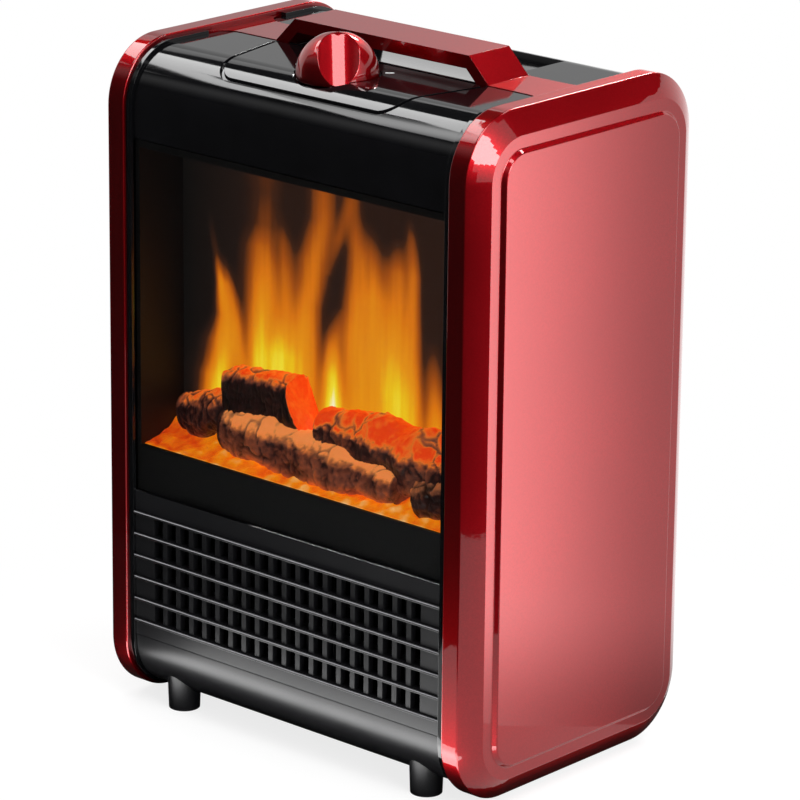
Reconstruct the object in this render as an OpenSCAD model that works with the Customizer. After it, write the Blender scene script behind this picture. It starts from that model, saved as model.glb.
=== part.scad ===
// Portable fan heater with a flame-effect window. Two moulded side panels hold a black case between them.
// A control knob and a carrying handle are on top, a lit log bed is behind the window,
// and a fan and a heating element are behind the lower grille.
// X runs across the heater, the front faces -Y and Z is up. The origin is on the floor below the middle.

/* [Case] */
// Width over the raised faces of the two side panels
case_w = 215; // [210:1:225]
// Depth over the side panels
case_d = 141; // [139:1:151]
// Height of the side panels' top above the floor
case_h = 294; // [288:1:306]
// Clear height below the side panels
panel_gap = 2.4; // [1.4:0.1:3]
// Radius of the side panels' corners
corner_r = 27.5; // [26:0.5:29]
// How far the black body lies inside the side panels' outline
body_recess = 3; // [2.5:0.1:3.5]
// Wall of the moulded body
skin = 2.5; // [2:0.1:3]
// Thickness of the end plates inside the side panels
plate_w = 3; // [2.5:0.1:4]

/* [Side panels] */
// Width of the flat rim that faces the front and the top
rim_w = 8.7; // [7:0.1:10]
// Depth of the sloped edge, across the heater
slope_x = 6; // [5:0.5:7]
// Width of the sloped edge, in from the outline
slope_in = 9.6; // [8:0.1:11]
// Width of the flat border inside the sloped edge
border_w = 5.1; // [4:0.1:6]
// Height of the raised face above the border
face_raise = 2; // [1:0.1:3]
// Slope of the step up to the raised face
face_draft = 1.6; // [1:0.1:2]
// Wall of the side panels
panel_wall = 2.5; // [2:0.1:3]

/* [Handle] */
// Height of the strap's top above the side panels' top
handle_rise = 8; // [7:0.5:12]
// Front to back width of the strap
handle_d = 25; // [20:1:28]
// Distance of the strap's middle behind the knob's middle
handle_back = 38.5; // [37:0.5:40]
// Half length of the strap's flat top
handle_flat = 48.5; // [44:0.5:50]
// Thickness of the strap
strap_t = 5.7; // [5:0.1:6.5]
// Depth of the finger well below the strap
well_depth = 18; // [14:1:20]

/* [Knob] */
// Diameter of the knob
knob_dia = 34.5; // [33:0.5:36]
// Height of the knob
knob_h = 19.5; // [18:0.5:21]
// Turn of the knob's grip from the X axis when it is off
knob_turn = 45; // [0:1:90]

/* [Front] */
// Height of the glossy fascia above the window, from the side panels' top
fascia_drop = 40; // [38:0.5:44]
// Height of the lower grille's top edge
grille_top = 98.1; // [96:0.1:100]
// Height of the plain band above the openings
blank_band = 9.7; // [8:0.1:11]
// Height of one row of openings
row_pitch = 9.82; // [9.5:0.01:10]
// Width from one opening to the next
column_pitch = 7.8; // [7.4:0.1:7.9]
// Width of one opening
hole_w = 5.2; // [4.5:0.1:5.5]
// Depth from the window pane to the flame screen
firebox_d = 26; // [24:1:28]
// Height of the ember bed's front edge above the shelf below it
ember_h = 7.5; // [5.5:0.5:10.5]

/* [Fan] */
// Diameter of the fan
fan_dia = 88; // [80:1:96]
// Number of fan blades
fan_blades = 5; // [3:1:9]

/* [Hidden] */
$fn = 64;
hull_fn = 32;
thin = 0.01;
run_gap = 0.05;
fit_gap = 0.3;
rows = 5;
low_band = 6.9;

// Levels across the heater, on the right side
face_x = case_w / 2;
border_x = face_x - face_raise;
rim_x = border_x - slope_x;
in_x = rim_x - rim_w;
body_x = in_x - plate_w;
columns = floor((2 * body_x - 19) / column_pitch);

// Levels from front to back
front_y = -case_d / 2 + body_recess;
back_y = -front_y;
pane_t = 3;
pane_back = front_y + pane_t;
flange_t = 1.5;
screen_y = pane_back + firebox_d;
screen_t = 1.5;
knob_y = front_y + 31;

// Levels above the floor
top_z = case_h - body_recess;
under_z = top_z - skin;
low_z = panel_gap + body_recess;
floor_z = low_z + skin;
mid_z = (panel_gap + case_h) / 2;
fascia_z = case_h - fascia_drop;
rib_top = grille_top - blank_band;
base_z = rib_top - rows * row_pitch - low_band;
shelf_t = 1.5;
ring_r = fan_dia / 2 + 2;
ring_t = 2.5;
ring_gap = 2.55;
shelf_z = floor_z + 2 * (ring_r + ring_t + ring_gap);
shelf_top = shelf_z + shelf_t;
ember_z = shelf_top + ember_h;
liner_t = 2;
liner_top = fascia_z - 2;

// Inset of the end plates' outline and the curve centres of the body's corners
plate_inset = 1.5;
arc_y = case_d / 2 - corner_r;

// Screws that hold the side panels, as [y, z], and the rear cover, as z
screw_r = 1.25;
head_r = 3.2;
head_h = 2;
panel_screw_places = [for (y = [-50, 50], z = [22, fascia_z + 4]) [y, z]];
rear_screw_z = [base_z + 42, fascia_z - 36];
lug_w = 12;
lug_d = 10;
lug_h = 12;
rear_screw_x = body_x - lug_w / 2;

// Handle
handle_top = case_h + handle_rise;
handle_y = knob_y + handle_back;
tab_t = 1.9;
tab_z = top_z - 1.6;
tab_top = tab_z + tab_t;
ramp_run = handle_top - tab_top;
tab_flare = 11;
seat_x = handle_flat + 5.5;
handle_screw_x = (seat_x + in_x) / 2;

// Finger well
well_x = handle_flat + 3.8;
well_y0 = handle_y - handle_d / 2 + 2;
well_y1 = arc_y + 3.5;
well_z = top_z - well_depth;
well_y = (well_y0 + well_y1) / 2;
well_half = (well_y1 - well_y0) / 2;
well_r = (well_half * well_half + well_depth * well_depth) / (2 * well_depth);
well_wall = 2.2;

// Control plate and knob
ctrl_t = 1.2;
ctrl_groove = 1.8;
ctrl_y0 = front_y + 9.6;
ctrl_y1 = well_y0 - 3;
ctrl_front = handle_flat + 0.5;
ctrl_back = handle_flat + 8.5;
knob_z = top_z - 2.2;
recess_r = knob_dia / 2 + 0.8;
recess_z = knob_z - 0.6;
recess_wall = 2.2;
shaft_r = 3;
bush_r = 5;
switch_w = 28;
switch_d = 26;
switch_z = recess_z - recess_wall - 2.5;
switch_h = 16;

// Flame rotor
rotor_y = screen_y + 30;
rotor_z = shelf_top + 38;
rotor_r = 17.5;
spindle_r = 2;
bracket_t = 2;
bracket_w = 26;
left_bracket_x = -body_x + 11;
right_bracket_x = body_x - 18;
rotor_stations = 11;

// Heating element and fan
heater_y0 = pane_back + 4;
heater_y1 = heater_y0 + 18;
heater_x = body_x - 11.8;
heater_z0 = base_z + 5.6;
heater_rim = 5;
cutout_h = 9.5;
cutout_gap = 3.4;
heater_z1 = shelf_z - cutout_gap - cutout_h - heater_rim;
fan_z = (floor_z + shelf_z) / 2;
fan_y = 18;
hub_r = 13;
hub_h = 14;
ring_y0 = fan_y - 6;
ring_y1 = fan_y + 18;
motor_r = 25;
motor_l = 22;
fan_shaft_r = 2.5;

// Feet and tip-over switch
foot_x = in_x - 20.3;
foot_y = case_d / 2 - 14.8;
foot_r0 = 6.8;
foot_r1 = 7.5;
tip_x = 25.8 - body_x;
tip_y = 10;
tip_r = 3.5;
tip_top = 16;

// Terminal block's low corner and size
term_x = body_x - 35.8;
term_y = -10;
term_size = [30, 12, 12];

// Rear cover and cord inlet
slot_h = 4.5;
slot_gap = 6;
slot_w = (2 * body_x - 7 * slot_gap) / 3;
slot_pitch = 8;
slot_rows = 6;
inlet_x = body_x - 19.8;
inlet_z = base_z + 12;
inlet_r = 3.5;
gland_r = 5.8;

red = [0.62, 0.03, 0.05];
gloss_black = [0.05, 0.05, 0.06];
satin_black = [0.18, 0.18, 0.19];
soot = [0.10, 0.08, 0.07];
ember = [0.85, 0.35, 0.08];
metal = [0.72, 0.73, 0.75];
board = [0.12, 0.32, 0.16];

// Extrudes a shape that is drawn as (y, z) from x0 to x1
module along_x(x0, x1) {
    translate([x0, 0, 0]) rotate([90, 0, 90]) linear_extrude(x1 - x0) children();
}

// Extrudes a shape that is drawn as (x, z) from y0 to y1
module along_y(y0, y1) {
    translate([0, y1, 0]) rotate([90, 0, 0]) linear_extrude(y1 - y0) children();
}

// Box from a low corner to a high corner
module block(low, high) {
    translate(low) cube(high - low);
}

// Cylinder along X, Y or Z from one level to another
module rod_x(x0, x1, y, z, r) {
    translate([x0, y, z]) rotate([0, 90, 0]) cylinder(r = r, h = x1 - x0);
}

module rod_y(y0, y1, x, z, r) {
    translate([x, y1, z]) rotate([90, 0, 0]) cylinder(r = r, h = y1 - y0);
}

module rod_z(z0, z1, x, y, r) {
    translate([x, y, z0]) cylinder(r = r, h = z1 - z0);
}

module rounded_rect(w, h, r) {
    square([w - 2 * r, h], center = true);
    square([w, h - 2 * r], center = true);
    for (sx = [-1, 1], sy = [-1, 1])
        translate([sx * (w / 2 - r), sy * (h / 2 - r)]) circle(r);
}

// The heater's outline seen from the side, drawn in by an inset
module outline(inset) {
    translate([0, mid_z])
        rounded_rect(case_d - 2 * inset, case_h - panel_gap - 2 * inset, corner_r - inset);
}

// Ring of the body's wall, from the body's surface inwards
module body_ring(wall) {
    difference() {
        outline(body_recess);
        outline(body_recess + wall);
    }
}

module pan_screw_x(x_head, x_tip, y, z) {
    rod_x(x_head, x_head + head_h, y, z, head_r);
    rod_x(x_head + head_h, x_tip, y, z, screw_r);
}

// Thin slice of the side panel's outline, for the sloped stretches
module panel_slice(x, inset) {
    along_x(x - thin, x) outline(inset, $fn = hull_fn);
}

module panel_loft(x0, inset0, x1, inset1) {
    hull() {
        panel_slice(x0, inset0);
        panel_slice(x1, inset1);
    }
}

// Side panel on the right: rim, sloped edge, border and raised face, hollow towards the end plate
module side_panel() {
    step_in = slope_in + border_w;
    difference() {
        union() {
            along_x(in_x, rim_x) outline(0);
            panel_loft(rim_x, 0, border_x, slope_in);
            panel_loft(border_x, step_in, face_x, step_in + face_draft);
        }
        along_x(in_x - 1, rim_x - 2) outline(panel_wall);
        panel_loft(rim_x - 2 + thin, panel_wall, border_x - panel_wall, slope_in + 1.2);
        panel_loft(border_x - panel_wall, step_in + panel_wall,
                   face_x - panel_wall, step_in + face_draft + panel_wall);
    }
    for (p = panel_screw_places)
        difference() {
            rod_x(in_x, face_x - 1, p[0], p[1], 4.5);
            rod_x(in_x - 1, in_x + 9, p[0], p[1], screw_r + run_gap);
        }
}

module left_side_panel() {
    color(red) mirror([1, 0, 0]) side_panel();
}

module right_side_panel() {
    color(red) side_panel();
}

// End plate on the right, with the notch for the handle's tab and the lugs for the rear cover's screws
module end_plate() {
    notch = handle_d / 2 + tab_flare + fit_gap;
    difference() {
        union() {
            along_x(body_x, in_x) outline(plate_inset);
            for (z = rear_screw_z)
                block([body_x - lug_w, back_y - skin - lug_d, z - lug_h / 2],
                      [body_x, back_y - skin, z + lug_h / 2]);
        }
        block([body_x - 1, handle_y - notch, tab_z], [in_x + 1, handle_y + notch, case_h]);
        for (p = panel_screw_places)
            rod_x(body_x - 1, in_x + 1, p[0], p[1], screw_r + fit_gap);
        for (z = rear_screw_z)
            rod_y(back_y - skin - lug_d + 1, back_y, rear_screw_x, z, screw_r + run_gap);
    }
}

module left_end_plate() {
    color(gloss_black) mirror([1, 0, 0]) end_plate();
}

module right_end_plate() {
    color(gloss_black) end_plate();
}

module panel_screws() {
    color(metal)
        for (side = [0, 1], p = panel_screw_places)
            mirror([side, 0, 0]) pan_screw_x(body_x - head_h, in_x + 8, p[0], p[1]);
}

// Control plate's outline seen from above: straight at the back, drawn in and rounded at the front
module ctrl_plan(grow) {
    hull()
        for (side = [-1, 1]) {
            translate([side * (ctrl_back - 2), ctrl_y1 - 2]) circle(2 + grow, $fn = hull_fn);
            translate([side * (ctrl_front - 9), ctrl_y0 + 9]) circle(9 + grow, $fn = hull_fn);
        }
}

// Layer of the top that the control plate fills, on the flat and on the front curve
module ctrl_layer(grow) {
    intersection() {
        translate([0, 0, fascia_z]) linear_extrude(case_h - fascia_z) ctrl_plan(grow);
        along_x(-body_x, body_x) body_ring(ctrl_t);
    }
}

// Handle tab seen from above, on the right: a strip from x0 that flares where it meets the side panel
module tab_plan(x0, grow) {
    half = handle_d / 2;
    translate([x0, -half - grow]) square([in_x - x0, handle_d + 2 * grow]);
    for (side = [-1, 1])
        difference() {
            translate([in_x - tab_flare, side > 0 ? half : -half - tab_flare - grow])
                square([tab_flare, tab_flare + grow]);
            translate([in_x - tab_flare, side * (half + tab_flare + grow)]) circle(tab_flare);
        }
}

module top_cover() {
    color(gloss_black)
    difference() {
        union() {
            difference() {
                union() {
                    along_x(-body_x, body_x)
                        intersection() {
                            body_ring(skin);
                            translate([-case_d, fascia_z]) square([2 * case_d, case_h]);
                        }
                    intersection() {
                        union() {
                            rod_x(-well_x - well_wall, well_x + well_wall, well_y, well_z + well_r,
                                  well_r + well_wall);
                            rod_z(recess_z - recess_wall, under_z + 1, 0, knob_y, recess_r + recess_wall);
                        }
                        along_x(-body_x, body_x) outline(body_recess);
                    }
                }
                rod_x(-well_x, well_x, well_y, well_z + well_r, well_r);
                ctrl_layer(ctrl_groove);
                for (side = [0, 1])
                    mirror([side, 0, 0]) {
                        translate([0, handle_y, tab_z]) linear_extrude(tab_t) tab_plan(well_x, run_gap);
                        rod_z(well_z, top_z, handle_screw_x, handle_y, screw_r + fit_gap);
                    }
                rod_z(recess_z, case_h, 0, knob_y, recess_r);
            }
            // Floor of the knob's recess, which runs out in the curve at the front
            intersection() {
                rod_z(recess_z - recess_wall + 0.5, recess_z, 0, knob_y, recess_r);
                along_x(-body_x, body_x) outline(body_recess);
            }
        }
        rod_z(well_z, case_h, 0, knob_y, bush_r + 0.2);
    }
}

module control_plate() {
    color(gloss_black)
    difference() {
        ctrl_layer(0);
        rod_z(well_z, case_h, 0, knob_y, recess_r + 0.2);
    }
}

// Rotary switch below the cover, with its bushing through the floor of the knob's recess
module rotary_switch() {
    color(satin_black)
    difference() {
        union() {
            block([-switch_w / 2, knob_y - switch_d / 2, switch_z - switch_h],
                  [switch_w / 2, knob_y + switch_d / 2, switch_z]);
            rod_z(switch_z, recess_z - recess_wall, 0, knob_y, bush_r + 1.4);
            rod_z(switch_z, knob_z - fit_gap, 0, knob_y, bush_r);
            for (x = [-9, 0, 9])
                block([x - 1.5, knob_y - 4, switch_z - switch_h - 7],
                      [x + 1.5, knob_y - 3.2, switch_z - switch_h]);
        }
        rod_z(switch_z - 13, case_h, 0, knob_y, shaft_r + run_gap);
    }
}

module switch_shaft() {
    color(metal)
        rod_z(switch_z - 13 + fit_gap, knob_z + 8, 0, knob_y, shaft_r);
}

// Knob: a dome with a long hollow scooped out of each side, which leaves a grip across the middle
module knob() {
    r = knob_dia / 2;
    skirt = 2.5;
    cap = knob_h - skirt;
    dome_r = (r * r + cap * cap) / (2 * cap);
    scoop_r = 14;
    scoop_top = [1.2, knob_h];
    scoop_low = [r - 1, 1.8];
    run = scoop_low - scoop_top;
    lean = atan2(run[0], -run[1]);
    mid = (scoop_top + scoop_low) / 2 + scoop_r * [cos(lean), sin(lean)];
    color(red) translate([0, knob_y, knob_z]) rotate([0, 0, knob_turn])
    difference() {
        rotate_extrude()
            intersection() {
                square([r, knob_h]);
                translate([0, knob_h - dome_r]) circle(dome_r);
            }
        for (side = [0, 1])
            mirror([0, side, 0])
                translate([0, mid[0], mid[1]]) rotate([lean, 0, 0])
                    cylinder(r = scoop_r, h = 6 * r, center = true);
        translate([0, 0, -1]) cylinder(r = shaft_r + run_gap, h = 9);
    }
}

// Carrying handle: a flat strap with sloped ends and flared tabs let into the top
module handle() {
    low = handle_top - strap_t;
    half = [
        [0, handle_top], [handle_flat, handle_top], [handle_flat + ramp_run, tab_top],
        [handle_flat + ramp_run + 4, tab_top], [handle_flat + ramp_run + 4, tab_z],
        [seat_x, tab_z], [seat_x - (low - tab_z), low], [0, low]
    ];
    color(red)
    difference() {
        union()
            for (side = [0, 1])
                mirror([side, 0, 0]) {
                    along_y(handle_y - handle_d / 2, handle_y + handle_d / 2) polygon(half);
                    translate([0, handle_y, tab_z]) linear_extrude(tab_t) tab_plan(seat_x, 0);
                }
        for (side = [-1, 1])
            rod_z(tab_z - 1, tab_z + tab_t - 0.8, side * handle_screw_x, handle_y, screw_r + run_gap);
    }
}

module handle_screws() {
    color(metal)
        for (side = [-1, 1]) {
            rod_z(under_z - head_h, under_z, side * handle_screw_x, handle_y, head_r);
            rod_z(under_z, tab_z + tab_t - 1.1, side * handle_screw_x, handle_y, screw_r);
        }
}

module window_pane() {
    color([0.55, 0.6, 0.65, 0.35])
        block([-body_x, front_y, grille_top], [body_x, pane_back, fascia_z - fit_gap]);
}

// Firebox liner: flange behind the pane, side walls and roof
module firebox_liner() {
    wall_x = body_x - liner_t;
    color(soot) {
        along_y(pane_back, pane_back + flange_t)
            difference() {
                translate([-body_x, grille_top + 0.5]) square([2 * body_x, fascia_z + 7 - grille_top]);
                translate([-wall_x, ember_z]) square([2 * wall_x, liner_top - liner_t - ember_z]);
            }
        along_y(pane_back + flange_t, screen_y)
            difference() {
                translate([-body_x, shelf_top]) square([2 * body_x, liner_top - shelf_top]);
                translate([-wall_x, shelf_top - 1])
                    square([2 * wall_x, liner_top - liner_t - shelf_top + 1]);
            }
    }
}

module flame_screen() {
    color([0.9, 0.6, 0.3, 0.8])
        block([-body_x, screen_y, shelf_top], [body_x, screen_y + screen_t, liner_top]);
}

// Logs of the bed as [x0, z0, x1, z1, y, r], from the left end of each axis to its right end
bed_x = body_x - liner_t - fit_gap;
bed_y0 = pane_back + flange_t + fit_gap;
bed_y1 = screen_y - fit_gap;
bed_d = bed_y1 - bed_y0;
logs = [
    [-80, ember_z + 15, -8, ember_z + 28, bed_y0 + 0.66 * bed_d, 10],
    [-46, ember_z + 8.5, 47, ember_z + 6.5, bed_y0 + 0.38 * bed_d, 9.5],
    [6, ember_z + 22, 80, ember_z + 19, bed_y0 + 0.52 * bed_d, 12],
    [60, ember_z + 9, bed_x, ember_z + 8, bed_y0 + 0.34 * bed_d, 8]
];
bed_columns = 60;
bed_rows = 12;

// Height of one log's bark above a point, or the bed's level where the log isn't
function log_height(l, x, y) =
    let (along = (x - l[0]) / (l[2] - l[0]),
         bark = 1 + 0.05 * sin(41 * x) * cos(67 * y),
         r = l[5] * bark,
         off = abs(y - l[4]))
    (along < 0 || along > 1 || off > r) ? ember_z - 1
        : l[1] + (l[3] - l[1]) * along + sqrt(r * r - off * off);

// Lumpy embers between the logs, low along the front edge
function ember_height(x, y) =
    ember_z + 1.6 * (1 + sin(31 * x + 23 * y) * cos(47 * y - 19 * x)) * min(1, (y - bed_y0) / 4);

function bed_height(x, y) =
    max([ember_height(x, y), for (l = logs) log_height(l, x, y)]);

// Log bed: one moulding of embers and logs, a relief over a grid of columns and rows.
// Each column of the grid has its own strip of the flat underside.
module log_bed() {
    n = bed_columns;
    m = bed_rows;
    function at(i, j) = j * (n + 1) + i;
    function x_of(i) = -bed_x + 2 * bed_x * i / n;
    function y_of(j) = bed_y0 + bed_d * j / m;
    under = (n + 1) * (m + 1);
    points = [
        for (j = [0:m], i = [0:n]) [x_of(i), y_of(j), bed_height(x_of(i), y_of(j))],
        for (i = [0:n]) [x_of(i), bed_y0, shelf_top],
        for (i = [0:n]) [x_of(i), bed_y1, shelf_top]
    ];
    front = under;
    back = under + n + 1;
    faces = [
        for (j = [0:m - 1], i = [0:n - 1]) each [
            [at(i, j), at(i, j + 1), at(i + 1, j + 1)], [at(i, j), at(i + 1, j + 1), at(i + 1, j)]
        ],
        for (i = [0:n - 1]) each [
            [at(i, 0), at(i + 1, 0), front + i + 1, front + i],
            [at(i + 1, m), at(i, m), back + i, back + i + 1],
            [front + i, front + i + 1, back + i + 1, back + i]
        ],
        [front, back, for (j = [m:-1:0]) at(0, j)],
        [back + n, front + n, for (j = [0:m]) at(n, j)]
    ];
    color(ember) polyhedron(points, faces);
}

// Front grille: a plate with rows of openings and a thin rib above and below each row
module front_grille() {
    rib_t = 1.3;
    rib_out = 1.4;
    hole_h = row_pitch - rib_t - 0.6;
    first_x = -(columns - 1) / 2 * column_pitch;
    color(satin_black) {
        along_y(front_y, front_y + 3)
            difference() {
                translate([-body_x, base_z]) square([2 * body_x, grille_top - base_z]);
                for (c = [0:columns - 1], r = [0:rows - 1])
                    translate([first_x + c * column_pitch - hole_w / 2,
                               rib_top - (r + 0.5) * row_pitch - hole_h / 2])
                        square([hole_w, hole_h]);
            }
        for (r = [0:rows])
            block([-body_x, front_y - rib_out, rib_top - r * row_pitch - rib_t / 2],
                  [body_x, front_y, rib_top - r * row_pitch + rib_t / 2]);
    }
}

// Base pan: the lower part of the body with its curved front and back, and the hole for the plunger
module base_pan() {
    color(satin_black)
    difference() {
        along_x(-body_x, body_x)
            intersection() {
                body_ring(skin);
                translate([-case_d, 0]) square([2 * case_d, base_z]);
            }
        rod_z(0, floor_z + 1, tip_x, tip_y, tip_r + 0.5);
    }
}

// Feet: slightly tapered pegs that end on the base pan's curve
module feet() {
    color(satin_black)
    difference() {
        for (sx = [-1, 1], sy = [-1, 1])
            translate([sx * foot_x, sy * foot_y, 0])
                cylinder(r1 = foot_r0, r2 = foot_r1, h = low_z + corner_r / 2);
        along_x(-case_w, case_w) outline(body_recess);
    }
}

module rear_slot(column, z) {
    x = column * (slot_w + slot_gap);
    block([x - slot_w / 2, back_y - skin - 1, z], [x + slot_w / 2, back_y + 1, z + slot_h]);
}

// Rear cover with the intake slots behind the fan and a few vents above
module rear_cover() {
    color(satin_black)
    difference() {
        block([-body_x, back_y - skin, base_z], [body_x, back_y, fascia_z]);
        for (column = [-1, 0, 1], row = [0:slot_rows - 1])
            rear_slot(column, base_z + 26 + row * slot_pitch);
        for (column = [-0.5, 0.5], row = [0:2])
            rear_slot(column, fascia_z - 30 + row * slot_pitch);
        for (sx = [-1, 1], z = rear_screw_z)
            rod_y(back_y - skin - 1, back_y + 1, sx * rear_screw_x, z, screw_r + fit_gap);
        rod_y(back_y - skin - 1, back_y + 1, inlet_x, inlet_z, gland_r + run_gap);
    }
}

module rear_screws() {
    color(metal)
        for (sx = [-1, 1], z = rear_screw_z) {
            rod_y(back_y, back_y + head_h, sx * rear_screw_x, z, head_r);
            rod_y(back_y - skin - lug_d + 2, back_y, sx * rear_screw_x, z, screw_r);
        }
}

// Cord gland: a bushing with a flange on each face of the rear cover
module cord_gland() {
    color(satin_black)
    difference() {
        union() {
            rod_y(back_y - skin - 4, back_y - skin, inlet_x, inlet_z, gland_r + 1.6);
            rod_y(back_y - skin, back_y, inlet_x, inlet_z, gland_r);
            rod_y(back_y, back_y + 2.5, inlet_x, inlet_z, gland_r + 2.2);
        }
        rod_y(back_y - skin - 5, back_y + 4, inlet_x, inlet_z, inlet_r);
    }
}

// Shelf between the flame chamber and the heating chamber
module mid_shelf() {
    color(metal)
        block([-body_x, pane_back + flange_t, shelf_z], [body_x, back_y - skin - 25, shelf_top]);
}

// Lamp board on its feet, behind the flame screen
led_count = 8;
lamp_y = screen_y + 9;
lamp_z = shelf_top + 3;
lamp_w = 12;
lamp_t = 1.6;
lamp_x = body_x - 17.8;
led_x = lamp_x - 7;
led_r = 2.5;

module lamp_board() {
    color(board) {
        block([-lamp_x, lamp_y - lamp_w / 2, lamp_z], [lamp_x, lamp_y + lamp_w / 2, lamp_z + lamp_t]);
        for (x = [-led_x, 0, led_x])
            block([x - lamp_w / 4, lamp_y - lamp_w / 3, shelf_top],
                  [x + lamp_w / 4, lamp_y + lamp_w / 3, lamp_z]);
    }
}

module lamp_leds() {
    color([1, 0.8, 0.4])
        for (i = [0:led_count - 1])
            translate([led_x * (2 * i / (led_count - 1) - 1), lamp_y, lamp_z + lamp_t]) {
                cylinder(r = led_r, h = 3);
                translate([0, 0, 3]) sphere(r = led_r);
            }
}

// Flame rotor: a spindle with bright vanes that throw the lamps' light on the screen
module flame_rotor() {
    x0 = left_bracket_x + bracket_t + 4;
    x1 = right_bracket_x - 4;
    pitch = (x1 - x0) / rotor_stations;
    color(metal) {
        rod_x(left_bracket_x - 3, right_bracket_x + bracket_t + 6, rotor_y, rotor_z, spindle_r);
        for (i = [0:rotor_stations - 1], k = [0:2])
            translate([x0 + i * pitch, rotor_y, rotor_z])
                rotate([k * 120 + i * 33, 0, 0])
                    translate([1, 1, -0.4]) cube([pitch - 2, rotor_r - 1, 0.8]);
    }
}

// Bracket that stands on the shelf and carries one end of the spindle
module rotor_bracket(x, bore) {
    difference() {
        union() {
            block([x, rotor_y - bracket_w / 2, shelf_top],
                  [x + bracket_t, rotor_y + bracket_w / 2, rotor_z]);
            rod_x(x, x + bracket_t, rotor_y, rotor_z, bracket_w / 2);
        }
        rod_x(x - 1, x + bracket_t + 1, rotor_y, rotor_z, bore);
    }
}

module left_rotor_bracket() {
    color(metal) {
        rotor_bracket(left_bracket_x, spindle_r + run_gap);
        block([left_bracket_x - 8, rotor_y - bracket_w / 2, shelf_top],
              [left_bracket_x, rotor_y + bracket_w / 2, shelf_top + 2]);
    }
}

module right_rotor_bracket() {
    color(metal) rotor_bracket(right_bracket_x, spindle_r + run_gap);
}

module rotor_motor() {
    x0 = right_bracket_x + bracket_t;
    color(metal)
    difference() {
        union() {
            rod_x(x0, x0 + 14, rotor_y, rotor_z, 18);
            block([x0, rotor_y - 8, rotor_z - 24], [x0 + 8, rotor_y + 8, rotor_z - 16]);
        }
        rod_x(x0 - 1, x0 + 7, rotor_y, rotor_z, spindle_r + run_gap);
    }
}

// Frame that holds the heating element between the end plates
module heater_frame() {
    color(soot)
        along_y(heater_y0, heater_y1)
            difference() {
                translate([-body_x, heater_z0 - heater_rim])
                    square([2 * body_x, heater_z1 - heater_z0 + 2 * heater_rim]);
                translate([-heater_x, heater_z0]) square([2 * heater_x, heater_z1 - heater_z0]);
            }
}

// Heating element: flat bars with thin upright fins between them
module heater_core() {
    bars = 4;
    bar_h = 4;
    fins = 31;
    fin_t = 0.8;
    step = (heater_z1 - heater_z0 - bar_h) / (bars - 1);
    color(metal)
        along_y(heater_y0 + 2, heater_y1 - 2) {
            for (b = [0:bars - 1])
                translate([-heater_x, heater_z0 + b * step]) square([2 * heater_x, bar_h]);
            for (f = [0:fins - 1])
                translate([-heater_x + (2 * heater_x - fin_t) * f / (fins - 1), heater_z0])
                    square([fin_t, heater_z1 - heater_z0]);
        }
}

// Thermal cut-out on top of the heater's frame
module thermal_cutout() {
    z0 = heater_z1 + heater_rim;
    x = heater_x / 2;
    y = (heater_y0 + heater_y1) / 2;
    color(satin_black) {
        rod_z(z0, z0 + 1, x, y, 8.5);
        rod_z(z0 + 1, z0 + 6, x, y, 7);
        for (off = [-5, 5])
            block([x + off - 2, y - 0.4, z0 + 6], [x + off + 2, y + 0.4, z0 + cutout_h]);
    }
}

// Fan shroud: a wall with a round opening, a short ring and a spider that carries the motor
module fan_shroud() {
    wall_t = 2;
    spider_t = 4;
    arm_h = 6;
    color(satin_black) {
        difference() {
            union() {
                block([-body_x, ring_y1 - wall_t, floor_z], [body_x, ring_y1, shelf_z]);
                rod_y(ring_y0 + 1, ring_y1, 0, fan_z, ring_r + ring_t);
            }
            rod_y(ring_y0, ring_y1 + 1, 0, fan_z, ring_r);
        }
        difference() {
            union() {
                rod_y(ring_y0, ring_y0 + spider_t, 0, fan_z, hub_r + 3);
                for (a = [45:90:315])
                    translate([0, 0, fan_z]) rotate([0, a, 0])
                        block([hub_r, ring_y0 + 0.5, -arm_h / 2],
                              [ring_r + ring_t / 2, ring_y0 + spider_t - 0.5, arm_h / 2]);
            }
            rod_y(ring_y0 - 1, ring_y0 + spider_t + 1, 0, fan_z, fan_shaft_r + 2);
        }
    }
}

// Fan motor in front of the spider
module fan_motor() {
    y0 = ring_y0 - motor_l;
    color(metal)
    difference() {
        union() {
            rod_y(y0, ring_y0 - 4, 0, fan_z, motor_r);
            rod_y(ring_y0 - 4, ring_y0, 0, fan_z, hub_r);
        }
        rod_y(y0 + 4, ring_y0 + 1, 0, fan_z, fan_shaft_r + run_gap);
    }
}

// Fan wheel with twisted blades, on its shaft
module fan_impeller() {
    color(gloss_black) {
        rod_y(ring_y0 - motor_l + 4 + fit_gap, fan_y + 1, 0, fan_z, fan_shaft_r);
        rod_y(fan_y, fan_y + hub_h, 0, fan_z, hub_r);
        translate([0, fan_y + hub_h - 1, fan_z]) rotate([90, 0, 0])
            for (b = [0:fan_blades - 1])
                rotate([0, 0, b * 360 / fan_blades])
                    linear_extrude(hub_h - 2, twist = -40, slices = 6, segments = 8)
                        translate([hub_r - 1, -1]) square([fan_dia / 2 - hub_r + 1, 2]);
    }
}

// Terminal block on the base pan
module terminal_block() {
    color([0.85, 0.85, 0.8])
    difference() {
        translate([term_x, term_y, floor_z]) cube(term_size);
        for (i = [0:2])
            rod_z(floor_z + 6, floor_z + term_size[2] + 1,
                  term_x + term_size[0] * (i + 0.5) / 3, term_y + term_size[1] / 2, 2.2);
    }
}

// Tip-over switch on the base pan, with the plunger that the floor holds in
module tip_switch() {
    color(soot)
    difference() {
        block([tip_x - 9, tip_y - 7, floor_z], [tip_x + 9, tip_y + 7, floor_z + 20]);
        rod_z(0, tip_top + 2, tip_x, tip_y, tip_r + run_gap);
    }
}

module tip_plunger() {
    color(ember) rod_z(0, tip_top, tip_x, tip_y, tip_r);
}

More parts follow.
